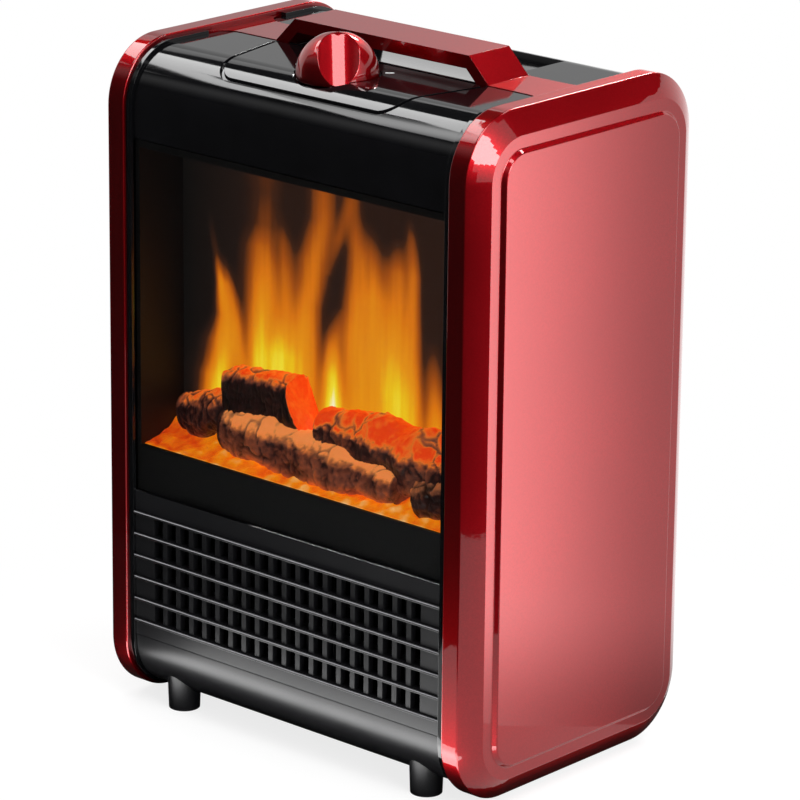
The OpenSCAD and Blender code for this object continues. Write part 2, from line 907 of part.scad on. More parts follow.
left_side_panel();
right_side_panel();
left_end_plate();
right_end_plate();
panel_screws();
top_cover();
control_plate();
rotary_switch();
switch_shaft();
knob();
handle();
handle_screws();
window_pane();
firebox_liner();
flame_screen();
log_bed();
front_grille();
base_pan();
feet();
rear_cover();
rear_screws();
cord_gland();
mid_shelf();
lamp_board();
lamp_leds();
flame_rotor();
left_rotor_bracket();
right_rotor_bracket();
rotor_motor();
heater_frame();
heater_core();
thermal_cutout();
fan_shroud();
fan_motor();
fan_impeller();
terminal_block();
tip_switch();
tip_plunger();
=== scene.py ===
"""Portable fan heater with a flame-effect window: its looks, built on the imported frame."""

import math
from functools import partial

import bmesh
import bpy
import numpy as np
from bpy.props import FloatProperty, FloatVectorProperty, PointerProperty
from mathutils import Matrix, Vector, noise


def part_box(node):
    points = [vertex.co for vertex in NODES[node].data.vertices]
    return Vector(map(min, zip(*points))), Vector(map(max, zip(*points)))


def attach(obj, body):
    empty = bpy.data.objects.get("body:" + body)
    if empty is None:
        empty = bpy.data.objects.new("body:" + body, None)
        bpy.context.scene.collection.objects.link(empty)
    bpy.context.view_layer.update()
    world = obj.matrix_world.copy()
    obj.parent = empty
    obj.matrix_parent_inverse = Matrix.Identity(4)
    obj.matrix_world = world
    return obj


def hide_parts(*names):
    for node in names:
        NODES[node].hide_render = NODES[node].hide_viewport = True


bl_info = {
    "name": "Fan Heater",
    "version": (1, 0, 0),
    "blender": (4, 5, 0),
    "location": "3D View > Sidebar > Heater",
    "description": "Dresses a portable fan heater with a flame-effect window",
    "category": "Object",
}

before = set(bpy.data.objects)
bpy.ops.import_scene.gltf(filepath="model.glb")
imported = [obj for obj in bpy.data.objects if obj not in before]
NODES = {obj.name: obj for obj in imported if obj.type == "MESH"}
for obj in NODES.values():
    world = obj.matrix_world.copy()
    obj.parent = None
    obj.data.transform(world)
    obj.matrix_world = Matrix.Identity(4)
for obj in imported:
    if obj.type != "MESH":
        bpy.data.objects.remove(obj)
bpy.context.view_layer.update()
MM = 0.001

PANEL_LOW, PANEL_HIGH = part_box("right_side_panel")
PANE_LOW, PANE_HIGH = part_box("window_pane")
SCREEN_LOW, SCREEN_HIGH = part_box("flame_screen")
BED_LOW, BED_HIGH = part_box("log_bed")
KNOB_LOW, KNOB_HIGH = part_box("knob")
PLATE_LOW, PLATE_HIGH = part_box("control_plate")

WELD = 0.002 * MM  # points of a CAD mesh that lie closer than this are one
FLAT = math.radians(0.5)  # faces that bend less than this are one
SHARP = math.radians(30)  # edges that bend more than this are rounded


def linear(hex_colour):
    """Turns an sRGB hex colour to the linear colour that shaders take."""
    channels = (int(hex_colour[i:i + 2], 16) / 255 for i in (1, 3, 5))
    return tuple(c / 12.92 if c <= 0.04045 else ((c + 0.055) / 1.055) ** 2.4 for c in channels)


def length(name, description, mm):
    return FloatProperty(name=name, description=description, default=mm * MM, min=0.0, unit="LENGTH",
                         precision=5)


def angle(name, description, degrees):
    return FloatProperty(name=name, description=description, default=math.radians(degrees), subtype="ANGLE")


def power(name, description, watts):
    return FloatProperty(name=name, description=description, default=watts, min=0.0, unit="POWER")


def amount(name, description, value):
    return FloatProperty(name=name, description=description, default=value, min=0.0)


def colour(name, description, hex_colour):
    return FloatVectorProperty(name=name, description=description, default=linear(hex_colour),
                               subtype="COLOR", size=3, min=0.0, max=1.0)


class HeaterPanelSizes(bpy.types.PropertyGroup):
    """Sizes of the red side panels."""

    corner: length("Corner radius", "Radius of the panels' outer corners", 27.5)
    rim: length("Rim", "Width of the flat rim that faces the front and the top", 8.7)
    slope_depth: length("Slope depth", "Depth of the sloped edge, across the heater", 6.0)
    slope_width: length("Slope width", "Width of the sloped edge, in from the outline", 9.6)
    border: length("Border", "Width of the flat border round the raised face", 5.1)
    draft: length("Step draft", "Slope of the step up to the raised face", 1.6)
    rounding: length("Edge rounding", "Radius of the moulded edges", 1.0)
    crown: length("Crown", "Swell of the sloped edge at its middle", 0.15)


class HeaterTopSizes(bpy.types.PropertyGroup):
    """Sizes of the knob and of the marks round it."""

    ridge: length("Grip", "Half width of the knob's grip at its top", 1.2)
    scoop: length("Scoop radius", "Radius of the hollows in the knob's sides", 14.0)
    knob_edge: length("Knob edge", "Rounding where the hollows meet the dome", 0.4)
    tick_start: length("Tick start", "Radius at which a mark round the knob starts", 19.6)
    tick_end: length("Tick end", "Radius at which a mark round the knob ends", 23.2)


class HeaterFireSizes(bpy.types.PropertyGroup):
    """Sizes of the log bed and the flames."""

    bark_cell: length("Bark plate", "Width of one plate of bark", 10.0)
    crack: length("Crack depth", "Depth of the cracks between bark plates", 1.5)
    ember: length("Ember size", "Width of one lump in the ember bed", 6.5)
    streak: length("Flame streak", "Width of the fine streaks in the flames", 3.0)
    glow: amount("Glow", "Brightness of the flames", 1.3)


class HeaterColours(bpy.types.PropertyGroup):
    """Colours of the finishes."""

    red: colour("Candy red", "Red lacquer over a silver basecoat", "#930B14")
    red_deep: colour("Deep red", "Red lacquer where it lies thicker", "#7C040C")
    gloss_black: colour("Gloss black", "Polished case and control plate", "#060607")
    satin_black: colour("Satin black", "Grille, base and rear cover", "#1B1B1E")
    # Painted highlight: pale grey on the tops of the grille's front edges, where light catches them
    worn: colour("Highlit edge", "Satin black where its edges are highlit", "#A8A8AC")
    soot: colour("Soot", "Matt inside of the firebox", "#0D0C0B")
    char: colour("Char", "Burnt bark", "#150A07")
    bark: colour("Bark", "Bark in the fire's light", "#854630")
    glow: colour("Glow", "Glowing edges of the logs", "#F4661A")
    ember: colour("Ember", "Lit ember bed", "#F58A0C")


class HeaterStage(bpy.types.PropertyGroup):
    """Camera and light."""

    camera_place: FloatVectorProperty(name="Camera", description="Where the camera stands",
                                      default=(1.21454, -1.35347, 0.71534), size=3, subtype="TRANSLATION")
    yaw: angle("Yaw", "Turn of the camera about the vertical", 41.818)
    pitch: angle("Pitch", "How far the camera looks down", 17.485)
    roll: angle("Roll", "Tilt of the camera", 0.627)
    lens: FloatProperty(name="Lens", description="Focal length in millimetres", default=201.9, min=10.0)
    key: power("Key lamp", "Power of the soft box at the upper left", 2.6)
    top: power("Top lamp", "Power of the soft box overhead", 7.0)
    side: power("Side lamp", "Power of the soft box at the right", 56.0)
    back: power("Back lamp", "Power of the soft box at the back left", 15.0)
    rear: power("Rear lamp", "Power of the soft box at the back right", 4.4)
    fill: amount("Fill", "Strength of the even light all round", 0.35)


def settings(group):
    return getattr(bpy.context.scene, "heater_" + group)


# Nodes and materials


def set_inputs(node, inputs):
    """Sets inputs by name or number: to a value, or by a link to an output or to a node's first output."""
    for name, value in dict(inputs).items():
        socket = node.inputs[name]
        if isinstance(value, bpy.types.Node):
            value = value.outputs[0]
        if isinstance(value, bpy.types.NodeSocket):
            node.id_data.links.new(value, socket)
        else:
            socket.default_value = (*value, 1.0) if socket.type == "RGBA" and len(value) == 3 else value


def add_node(tree, kind, inputs=(), stops=(), **properties):
    """Adds a node with its settings and links; a ramp's stops go as (position, linear colour)."""
    new = tree.nodes.new(kind)
    for name, value in properties.items():
        setattr(new, name, value)
    set_inputs(new, inputs)
    if stops:
        elements = new.color_ramp.elements
        while len(elements) < len(stops):
            elements.new(1.0)
        for element, (position, rgb) in zip(elements, stops):
            element.position = position
            element.color = (*rgb, 1.0)
    return new


def bare_material(name):
    """Gives a material with an empty node tree, and add_node for that tree."""
    material = bpy.data.materials.new(name)
    material.use_nodes = True
    material.node_tree.nodes.clear()
    return material, partial(add_node, material.node_tree)


def start_material(name, slot_colour):
    """Gives a material, add_node for its tree, its shader and the place on the object in metres."""
    material, add = bare_material(name)
    material.diffuse_color = (*slot_colour, 1.0)
    shader = add("ShaderNodeBsdfPrincipled")
    add("ShaderNodeOutputMaterial", {"Surface": shader})
    return material, add, shader, add("ShaderNodeTexCoord").outputs["Object"]


def per_metre(size_mm):
    """Texture scale that gives a pattern of this size."""
    return 1.0 / (size_mm * MM)


def grained(name, slot_colour, grain_mm, detail, stops, rough, constants=(), stretch=None):
    """Gives a material whose tone and roughness follow one grain."""
    material, add, shader, place = start_material(name, slot_colour)
    if stretch:
        place = add("ShaderNodeMapping", {"Vector": place, "Scale": stretch})
    grain = add("ShaderNodeTexNoise", {"Vector": place, "Scale": per_metre(grain_mm), "Detail": detail})
    tone = add("ShaderNodeValToRGB", {"Fac": grain}, stops)
    spread = add("ShaderNodeMapRange", {"Value": grain, "To Min": rough[0], "To Max": rough[1]})
    set_inputs(shader, {"Base Color": tone, "Roughness": spread, **dict(constants)})
    return material


def candy_red_lacquer():
    """ABS, moulded, sprayed with a silver basecoat and clear red lacquer: a deep red with a wet shine."""
    c = settings("colours")
    material, add, shader, place = start_material("candy_red_lacquer", c.red)
    # Metal flake is under 0.1 mm across; it is drawn at 0.5 mm so that it shows.
    flake = add("ShaderNodeTexVoronoi", {"Vector": place, "Scale": per_metre(0.5)})
    cloud = add("ShaderNodeTexNoise", {"Vector": place, "Scale": per_metre(60), "Detail": 2.0})
    level = add("ShaderNodeMath", {0: flake.outputs["Color"], 1: cloud}, operation="MULTIPLY")
    red = add("ShaderNodeMix", {0: level, 6: c.red_deep, 7: c.red}, data_type="RGBA")
    rough = add("ShaderNodeMapRange", {"Value": cloud, "To Min": 0.34, "To Max": 0.4})
    # Orange peel of the lacquer, about 3 mm from crest to crest
    peel = add("ShaderNodeTexNoise", {"Vector": place, "Scale": per_metre(3), "Detail": 1.0})
    bump = add("ShaderNodeBump", {"Height": peel, "Strength": 0.04, "Distance": 0.2 * MM})
    set_inputs(shader, {"Base Color": red.outputs[2], "Roughness": rough, "Coat Normal": bump, "Metallic": 0.95,
                        "Specular Tint": linear("#FF9C9C"), "Coat Weight": 1.0, "Coat Roughness": 0.03,
                        "Coat IOR": 1.5})
    return material


def gloss_black_abs():
    """ABS, moulded in a polished tool: near black, with mirror reflections and faint wiping marks."""
    black = settings("colours").gloss_black
    stops = [(0.3, black), (0.8, linear("#0A0A0C"))]
    return grained("gloss_black_abs", black, 14, 4.0, stops, (0.03, 0.10), {"IOR": 1.52})


def satin_black_abs():
    """ABS, moulded in a spark-eroded tool: fine grain that scatters light to a soft grey, and painted edge
    highlights.
    """
    c = settings("colours")
    material, add, shader, place = start_material("satin_black_abs", c.satin_black)
    # The eroded grain is near 0.1 mm; it is drawn at 0.35 mm so that it shows.
    grain = add("ShaderNodeTexNoise", {"Vector": place, "Scale": per_metre(0.35), "Detail": 3.0})
    patch = add("ShaderNodeTexNoise", {"Vector": place, "Scale": per_metre(25), "Detail": 2.0})
    tone = add("ShaderNodeValToRGB", {"Fac": grain}, [(0.3, linear("#0A0A0B")), (0.7, c.satin_black)])
    # Painted highlight: pale grey where soft_copy marked the tops of the front edges
    worn = add("ShaderNodeAttribute", attribute_name="worn").outputs["Fac"]
    tone = add("ShaderNodeMix", {0: worn, 6: tone, 7: c.worn}, data_type="RGBA").outputs[2]
    rough = add("ShaderNodeMapRange", {"Value": patch, "To Min": 0.28, "To Max": 0.36})
    bump = add("ShaderNodeBump", {"Height": grain, "Strength": 0.15, "Distance": 0.1 * MM})
    set_inputs(shader, {"Base Color": tone, "Roughness": rough, "Normal": bump, "IOR": 1.5,
                        "Specular IOR Level": 0.4})
    return material


def soot_black_moulding():
    """Heat-resistant moulding, matt: takes light away and shows a little dust."""
    soot = settings("colours").soot
    stops = [(0.35, soot), (0.75, linear("#1C1A18"))]
    return grained("soot_black_moulding", soot, 2.5, 5.0, stops, (0.5, 0.7))


def window_glass():
    """Tempered glass, polished: clear, with a faint grey tint."""
    material, add, shader, place = start_material("window_glass", linear("#DDE0E0"))
    wave = add("ShaderNodeTexNoise", {"Vector": place, "Scale": per_metre(40), "Detail": 1.0})
    rough = add("ShaderNodeMapRange", {"Value": wave, "To Min": 0.0, "To Max": 0.02})
    set_inputs(shader, {"Roughness": rough, "Base Color": linear("#E2E4E4"), "IOR": 1.45,
                        "Transmission Weight": 1.0})
    return material


FLAME_STOPS = (
    (0.00, "#0B0908"), (0.08, "#1D120E"), (0.20, "#3B1E10"), (0.36, "#A04C0E"), (0.50, "#DB750E"),
    (0.66, "#E89414"), (0.80, "#EEC31C"), (0.90, "#F4E038"), (1.00, "#FFF8DA"),
)


def flame_film():
    """Printed polyester film, lit from behind: soft flames with fine upright streaks."""
    f = settings("fire")
    material, add, shader, place = start_material("printed_flame_film", linear("#DB750E"))
    heat = add("ShaderNodeAttribute", attribute_name="warmth").outputs["Fac"]
    tall = add("ShaderNodeMapping", {"Vector": place, "Scale": (1.0, 1.0, 0.08)})
    streak = add("ShaderNodeTexNoise", {"Vector": tall, "Scale": 1.0 / f.streak, "Detail": 2.0})
    lift = add("ShaderNodeMapRange", {"Value": streak, "To Min": 0.86, "To Max": 1.12})
    level = add("ShaderNodeMath", {0: heat, 1: lift}, operation="MULTIPLY")
    light = add("ShaderNodeValToRGB", {"Fac": level}, [(at, linear(tone)) for at, tone in FLAME_STOPS])
    set_inputs(shader, {"Emission Color": light, "Emission Strength": f.glow, "Base Color": linear("#060505"),
                        "Roughness": 0.6})
    return material


def bark_resin():
    """Resin, cast and painted as burnt bark, with the lamps' light painted on its high places as tone and glow.
    """
    c = settings("colours")
    material, add, shader, place = start_material("bark_resin", c.bark)
    warmth = add("ShaderNodeAttribute", attribute_name="warmth").outputs["Fac"]
    brush = add("ShaderNodeTexNoise", {"Vector": place, "Scale": per_metre(1.8), "Detail": 5.0})
    lift = add("ShaderNodeMapRange", {"Value": brush, "To Min": -0.1, "To Max": 0.1})
    level = add("ShaderNodeMath", {0: warmth, 1: lift}, operation="ADD")
    tone = add("ShaderNodeValToRGB", {"Fac": level}, [
        (0.0, c.char), (0.2, linear("#3A1A18")), (0.4, c.bark), (0.55, linear("#B4582C")),
        (0.7, linear("#E47428")), (0.85, c.glow), (1.0, linear("#F0400A"))])
    # Painted highlight: pale peach mixed in on the lit tops, in step with the painted light
    ash = add("ShaderNodeAttribute", attribute_name="ash").outputs["Fac"]
    pale = add("ShaderNodeMath", {0: ash, 1: level}, operation="MULTIPLY")
    tone = add("ShaderNodeMix", {0: pale, 6: tone, 7: linear("#FFB068")}, data_type="RGBA").outputs[2]
    # Painted light: the bark glows more where its painted light level is higher
    lamp = add("ShaderNodeMapRange", {"Value": level, "From Min": 0.15, "From Max": 0.7, "To Min": 0.25,
                                      "To Max": 0.95})
    bump = add("ShaderNodeBump", {"Height": brush, "Strength": 0.6, "Distance": 0.6 * MM})
    set_inputs(shader, {"Base Color": tone, "Emission Color": tone, "Emission Strength": lamp, "Normal": bump,
                        "Roughness": 0.42})
    return material


def ember_resin():
    """Clear resin, cast over the lamps and tinted: bright orange, with pale lumps and red hollows."""
    c = settings("colours")
    material, add, shader, place = start_material("tinted_ember_resin", c.ember)
    warmth = add("ShaderNodeAttribute", attribute_name="warmth").outputs["Fac"]
    ash = add("ShaderNodeTexNoise", {"Vector": place, "Scale": per_metre(3), "Detail": 5.0})
    lift = add("ShaderNodeMapRange", {"Value": ash, "To Min": -0.22, "To Max": 0.22})
    level = add("ShaderNodeMath", {0: warmth, 1: lift}, operation="ADD")
    tone = add("ShaderNodeValToRGB", {"Fac": level}, [
        (0.0, linear("#9C2606")), (0.25, linear("#DC460A")), (0.45, linear("#EE6C0C")), (0.65, c.ember),
        (0.85, linear("#FBB05C")), (1.0, linear("#FFD9A8"))])
    bump = add("ShaderNodeBump", {"Height": ash, "Strength": 0.5, "Distance": 1.2 * MM})
    set_inputs(shader, {"Base Color": tone, "Emission Color": tone, "Emission Strength": 0.95, "Normal": bump,
                        "Roughness": 0.3})
    return material


def plain_stock(name, dark, light, grain_mm, rough, metallic=0.0, stretch=(1.0, 1.0, 1.0)):
    """Sheet, wire and small mouldings inside the case: one tone with the grain of how it was made."""
    stops = [(0.3, linear(dark)), (0.7, linear(light))]
    return grained(name, linear(light), grain_mm, 4.0, stops, (rough * 0.8, rough * 1.2), {"Metallic": metallic},
                   stretch)


# Mesh helpers


def new_piece(name, points, faces, body, material, replaces=None, slot=None):
    """Makes a mesh piece in the frame that rides on a body and, where given, stands for a CAD node."""
    mesh = bpy.data.meshes.new(name)
    mesh.from_pydata([tuple(p) for p in points], [], faces)
    work = bmesh.new()
    work.from_mesh(mesh)
    bmesh.ops.recalc_face_normals(work, faces=work.faces)
    work.to_mesh(mesh)
    work.free()
    mesh.materials.append(material)
    piece = bpy.data.objects.new(name, mesh)
    bpy.context.scene.collection.objects.link(piece)
    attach(piece, body)
    if replaces:
        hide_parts(replaces)
    return piece


def shade(piece, degrees=35.0, weighted=True):
    """Smooth shading, with edges sharper than the angle kept, and flats kept flat."""
    piece.data.shade_smooth()
    piece.data.set_sharp_from_angle(angle=math.radians(degrees))
    if weighted:
        flats = piece.modifiers.new("flats", "WEIGHTED_NORMAL")
        flats.keep_sharp = True


def fillet(path, radius, steps=5):
    """Rounds the inner corners of an open path of 2-D points."""
    points = [Vector(path[0])]
    for before, corner, after in zip(path, path[1:], path[2:]):
        corner, back, on = Vector(corner), Vector(before) - Vector(corner), Vector(after) - Vector(corner)
        half = back.angle(on) / 2
        cut = min(radius / math.tan(half), 0.45 * back.length, 0.45 * on.length)
        start, end = corner + cut * back.normalized(), corner + cut * on.normalized()
        points += [start.lerp(corner, t).lerp(corner.lerp(end, t), t)
                   for t in (i / steps for i in range(steps + 1))]
    return points + [Vector(path[-1])]


def rounded_outline(low, high, radius, steps=24):
    """Rounded rectangle in (y, z), as points in order."""
    corners = ((high[0] - radius, high[1] - radius), (low[0] + radius, high[1] - radius),
               (low[0] + radius, low[1] + radius), (high[0] - radius, low[1] + radius))
    points = []
    for quarter, (cy, cz) in enumerate(corners):
        for i in range(steps + 1):
            turn = math.pi / 2 * (quarter + i / steps)
            points.append((cy + radius * math.cos(turn), cz + radius * math.sin(turn)))
    return points


def loft(loops):
    """Points and faces of a closed skin through loops of the same count, capped at both ends."""
    count = len(loops[0])
    points = [p for loop in loops for p in loop]
    faces = [tuple(range(count)), tuple(range(len(points) - count, len(points)))]
    for row in range(len(loops) - 1):
        for i in range(count):
            j = (i + 1) % count
            faces.append((row * count + i, row * count + j, (row + 1) * count + j, (row + 1) * count + i))
    return points, faces


def slab(columns, rows, front, back):
    """Points and faces of a solid with a fine grid on one side and a plain back.

    The function front gives the point at (column, row). The back is given by its corners at the grid's first
    and last row in the first column, then in the last.
    """
    points = [front(i, j) for j in range(rows + 1) for i in range(columns + 1)]
    wide, first = columns + 1, len(points)
    faces = [(j * wide + i, j * wide + i + 1, (j + 1) * wide + i + 1, (j + 1) * wide + i)
             for j in range(rows) for i in range(columns)]
    edges = (range(wide), range(rows * wide, first), range(0, first, wide), range(columns, first, wide))
    for edge, (a, b) in zip(edges, ((0, 2), (1, 3), (0, 1), (2, 3))):
        faces.append((*edge, first + b, first + a))
    faces.append((first, first + 1, first + 3, first + 2))
    return points + list(back), faces


def paint(piece, name, values):
    """Stores one value per point for the material to read."""
    layer = piece.data.attributes.new(name, "FLOAT", "POINT")
    layer.data.foreach_set("value", np.asarray(values, np.float32))


def is_sharp(edge):
    return len(edge.link_faces) == 2 and edge.calc_face_angle() > SHARP


def soft_copy(node, material, slot, width, segments=2, lip=0.0):
    """Copy of a CAD node that stands for it, with its sharp edges rounded.

    Where a lip is given, the edges that stand furthest forward get that rounding and a painted highlight along
    their top.
    """
    work = bmesh.new()
    work.from_mesh(NODES[node].data)
    work.transform(NODES[node].matrix_world)
    bmesh.ops.remove_doubles(work, verts=work.verts, dist=WELD)
    bmesh.ops.dissolve_limit(work, angle_limit=FLAT, verts=work.verts, edges=work.edges)
    bevel = {"offset_type": "OFFSET", "segments": segments, "profile": 0.5, "affect": "EDGES"}
    layer = work.verts.layers.float.new("worn")
    rounds = set()
    if lip:
        front = min(v.co.y for v in work.verts) + 0.05 * MM
        forward = [e for e in work.edges if all(v.co.y < front for v in e.verts) and is_sharp(e)]
        rounds = set(bmesh.ops.bevel(work, geom=forward, offset=lip, clamp_overlap=False, **bevel)["faces"])
        work.normal_update()
        # Painted highlight: marks the points of the rounded front edges that face up
        for v in work.verts:
            v[layer] = float(v.normal.z > 0.2 and rounds.issuperset(v.link_faces))
    sharp = [e for e in work.edges if is_sharp(e) and rounds.isdisjoint(e.link_faces)]
    bmesh.ops.bevel(work, geom=sharp, offset=width, clamp_overlap=True, **bevel)
    work.verts.index_update()
    points = [v.co.copy() for v in work.verts]
    worn = [v[layer] for v in work.verts]
    faces = [tuple(v.index for v in face.verts) for face in work.faces]
    work.free()
    piece = new_piece(node + "_soft", points, faces, "case", material, node, slot)
    paint(piece, "worn", worn)
    shade(piece)


def dress(material, *names):
    """Gives CAD nodes a finish."""
    for name in names:
        slots = NODES[name].data.materials
        slots.clear()
        slots.append(material)


# Pieces


class HEATER_OT_side_panels(bpy.types.Operator):
    """Moulds the two red side panels: rim, sloped edge, border and raised face"""

    bl_idname = "heater.side_panels"
    bl_label = "Side Panels"

    def execute(self, context):
        s = settings("panel")
        red = candy_red_lacquer()
        rim_x = PANEL_LOW.x + s.rim
        border_x = rim_x + s.slope_depth
        step_in = s.slope_width + s.border
        face_in = step_in + s.draft
        # Profile from the end plate outwards, as (distance across, inset from the outline)
        swell = [(t, 4 * s.crown * t * (1 - t)) for t in (0.2, 0.4, 0.6, 0.8)]
        slope = [(rim_x + t * s.slope_depth + up, t * s.slope_width - up) for t, up in swell]
        profile = fillet([(PANEL_LOW.x, 2 * s.rounding), (PANEL_LOW.x, 0), (rim_x, 0), *slope,
                          (border_x, s.slope_width), (border_x, step_in), (PANEL_HIGH.x, face_in),
                          (PANEL_HIGH.x, face_in + 5 * s.rounding)], s.rounding)
        for side, name in ((-1, "left_side_panel"), (1, "right_side_panel")):
            loops = []
            for x, inset in profile:
                outline = rounded_outline((PANEL_LOW.y + inset, PANEL_LOW.z + inset),
                                          (PANEL_HIGH.y - inset, PANEL_HIGH.z - inset), s.corner - inset)
                loops.append([(side * x, y, z) for y, z in outline])
            piece = new_piece(name + "_shell", *loft(loops), "case", red, name, "red_gloss")
            shade(piece, 50)
        return {"FINISHED"}


class HEATER_OT_top(bpy.types.Operator):
    """Finishes the gloss black case and its control plate, and prints the marks round the knob"""

    bl_idname = "heater.top"
    bl_label = "Top and Control Plate"

    # Edge rounding of the gloss black pieces, in millimetres
    ROUNDED = (("top_cover", 0.25), ("control_plate", 0.35), ("left_end_plate", 0.4), ("right_end_plate", 0.4))
    SETTINGS = (45, 90, 135, 180)  # degrees round the knob
    HALF_TICK = 0.45 * MM
    INK_ABOVE, INK_BELOW = 0.06 * MM, 0.2 * MM  # how far a mark stands out of the plate, and reaches into it

    def execute(self, context):
        black = gloss_black_abs()
        for node, width in self.ROUNDED:
            soft_copy(node, black, "black_gloss", width * MM)
        self.marks()
        return {"FINISHED"}

    def marks(self):
        """One tick for each setting of the knob."""
        s = settings("top")
        # Pad-printed ink, a flat white with a slight grain
        ink = plain_stock("white_pad_print", "#D8D8D8", "#F2F2F2", 0.5, 0.5)
        centre = (KNOB_LOW + KNOB_HIGH) / 2
        above, below = PLATE_HIGH.z + self.INK_ABOVE, PLATE_HIGH.z - self.INK_BELOW
        half = self.HALF_TICK
        points, faces = [], []
        for degrees in self.SETTINGS:
            out = Vector((math.cos(math.radians(degrees)), math.sin(math.radians(degrees)), 0))
            side = Vector((-out.y, out.x, 0))
            first = len(points)
            for r, w in ((s.tick_start, -half), (s.tick_end, -half), (s.tick_end, half), (s.tick_start, half)):
                spot = centre + r * out + w * side
                points += [(spot.x, spot.y, above), (spot.x, spot.y, below)]
            top = [first + 2 * i for i in range(4)]
            faces.append(tuple(top))
            faces.append(tuple(i + 1 for i in reversed(top)))
            faces += [(a, a + 1, b + 1, b) for a, b in zip(top, top[1:] + top[:1])]
        new_piece("setting_marks", points, faces, "case", ink, None, "black_gloss")


class HEATER_OT_knob(bpy.types.Operator):
    """Turns the red knob: a dome with a long hollow in each side"""

    bl_idname = "heater.knob"
    bl_label = "Knob"

    SKIRT = 2.5 * MM  # height at which the dome reaches the knob's radius
    LIP, HOLLOW_FOOT = 1.0 * MM, 1.8 * MM  # where a hollow ends: in from the edge, and up from the plate
    LOWER_EDGE = 0.6 * MM
    POLE = 0.2 * MM  # radius of the small flat at the top
    GRIP_TURN = 45  # degrees from the heater's long side to the grip at rest

    def execute(self, context):
        s = settings("top")
        radius, tall = (KNOB_HIGH.x - KNOB_LOW.x) / 2, KNOB_HIGH.z - KNOB_LOW.z
        centre = (KNOB_LOW + KNOB_HIGH) / 2
        cap = tall - self.SKIRT
        dome = (radius ** 2 + cap ** 2) / (2 * cap)
        top, low = np.array((s.ridge, tall)), np.array((radius - self.LIP, self.HOLLOW_FOOT))
        run = low - top
        run /= np.linalg.norm(run)
        out = np.array((-run[1], run[0]))
        rings, around = 140, 420

        def height(x, y):
            """Top of the knob at a place: the lower of the dome and the two hollows, with a soft edge."""
            ball = tall - dome + math.sqrt(max(dome ** 2 - x * x - y * y, 0.0))
            off = s.scoop - math.sqrt(max(s.scoop ** 2 - x * x, 0.0))
            start = top + off * out
            scoop = start[1] + (abs(y) - start[0]) * run[1] / run[0]
            k = s.knob_edge
            h = min(max(0.5 + 0.5 * (scoop - ball) / k, 0.0), 1.0)
            return scoop + (ball - scoop) * h - k * h * (1 - h)

        turn = Matrix.Rotation(math.radians(self.GRIP_TURN), 3, "Z")
        base = Vector((centre.x, centre.y, KNOB_LOW.z))
        edge = self.LOWER_EDGE
        # Rings as (radius, height), with no height where the dome and the hollows give it
        levels = [(radius - edge, 0.0), (radius, edge)]
        levels += [(radius * math.sqrt(1 - (i / rings) ** 1.5), None) for i in range(rings)]
        levels.append((self.POLE, None))
        skin = []
        for r, level in levels:
            row = []
            for i in range(around):
                a = 2 * math.pi * i / around
                x, y = r * math.cos(a), r * math.sin(a)
                z = max(height(x, y), edge) if level is None else level
                row.append(base + turn @ Vector((x, y, z)))
            skin.append(row)
        piece = new_piece("knob_cap", *loft(skin), "knob_and_shaft", bpy.data.materials["candy_red_lacquer"],
                          "knob", "red_gloss")
        shade(piece, 60, weighted=False)
        return {"FINISHED"}


class HEATER_OT_handle(bpy.types.Operator):
    """Moulds the red carrying handle: a strap with sloped ends and flared tabs"""

    bl_idname = "heater.handle"
    bl_label = "Handle"

    ROUNDING = 0.9 * MM

    def execute(self, context):
        soft_copy("handle", bpy.data.materials["candy_red_lacquer"], "red_gloss", self.ROUNDING, 4)
        return {"FINISHED"}


